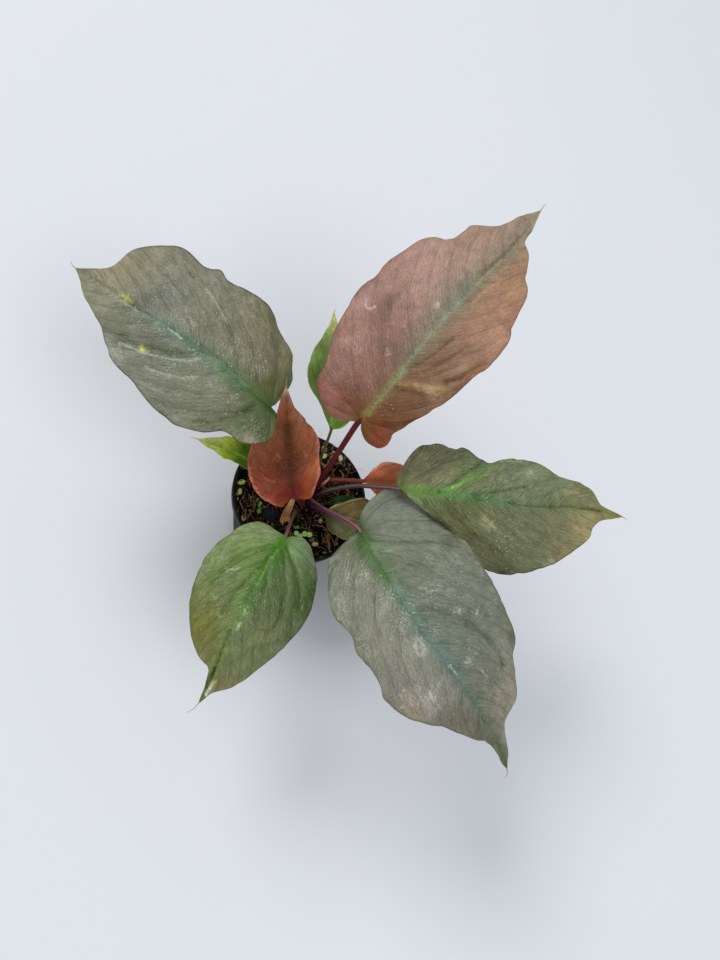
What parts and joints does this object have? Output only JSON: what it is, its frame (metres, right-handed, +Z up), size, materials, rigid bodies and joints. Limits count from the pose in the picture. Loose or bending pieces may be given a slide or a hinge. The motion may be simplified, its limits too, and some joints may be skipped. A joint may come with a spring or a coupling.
{
  "type": "potted homalomena",
  "caption": "Young aroid house plant with broad pointed leaves on arching stalks, rooted in potting mix in a round black nursery pot.",
  "frame": {"origin": "middle of the underside of the pot's base, on the surface that it stands on", "axes": "+Z up; +X to the right and +Y away from the viewer, as the plant is seen from above"},
  "size_m": [0.3012, 0.2785, 0.1891],
  "materials": {
    "pot": "matte black moulded plastic",
    "mix": "damp bark, fibre and grit",
    "stem": "ringed, dull",
    "blade_a": "satin leaf, olive-grey with a blue-green middle, fine side veins",
    "stalk_a": "satin, finely ribbed",
    "blade_b": "satin leaf, mauve-brown with a pale green midrib, fine side veins",
    "stalk_b": "satin, finely ribbed",
    "blade_c": "satin leaf, olive green with a bright green base, fine side veins",
    "stalk_c": "satin, finely ribbed",
    "blade_d": "satin leaf, grey-green with a blue-green middle, fine side veins",
    "stalk_d": "satin, finely ribbed",
    "blade_e": "satin leaf, mid green, fine side veins",
    "stalk_e": "satin, finely ribbed",
    "blade_f": "satin leaf, red-brown, fine side veins",
    "stalk_f": "satin, finely ribbed",
    "blade_g": "satin leaf, fresh green, fine side veins",
    "stalk_g": "satin, finely ribbed",
    "blade_h": "satin leaf, yellow-green, fine side veins",
    "stalk_h": "satin, finely ribbed",
    "blade_i": "satin leaf, red-brown, fine side veins",
    "stalk_i": "satin, finely ribbed",
    "blade_j": "satin leaf, olive brown, fine side veins",
    "stalk_j": "satin, finely ribbed",
    "blade_k": "satin leaf, dark green, fine side veins",
    "stalk_k": "satin, finely ribbed",
    "dry_sheath": "dry, papery, fibrous",
    "bud_sheath": "smooth, pink to cream",
    "weed": "smooth, fresh green"
  },
  "bodies": {
    "root": {"pot": "pot", "soil": "mix", "stem_and_roots": "stem", "leaf_a_blade": "blade_a", "leaf_a_stalk": "stalk_a", "leaf_b_blade": "blade_b", "leaf_b_stalk": "stalk_b", "leaf_c_blade": "blade_c", "leaf_c_stalk": "stalk_c", "leaf_d_blade": "blade_d", "leaf_d_stalk": "stalk_d", "leaf_e_blade": "blade_e", "leaf_e_stalk": "stalk_e", "leaf_f_blade": "blade_f", "leaf_f_stalk": "stalk_f", "leaf_g_blade": "blade_g", "leaf_g_stalk": "stalk_g", "leaf_h_blade": "blade_h", "leaf_h_stalk": "stalk_h", "leaf_i_blade": "blade_i", "leaf_i_stalk": "stalk_i", "leaf_j_blade": "blade_j", "leaf_j_stalk": "stalk_j", "leaf_k_blade": "blade_k", "leaf_k_stalk": "stalk_k", "dry_sheath": "dry_sheath", "bud_sheath": "bud_sheath", "weed_1": "weed", "weed_2": "weed", "weed_3": "weed", "weed_4": "weed"}
  },
  "joints": []
}
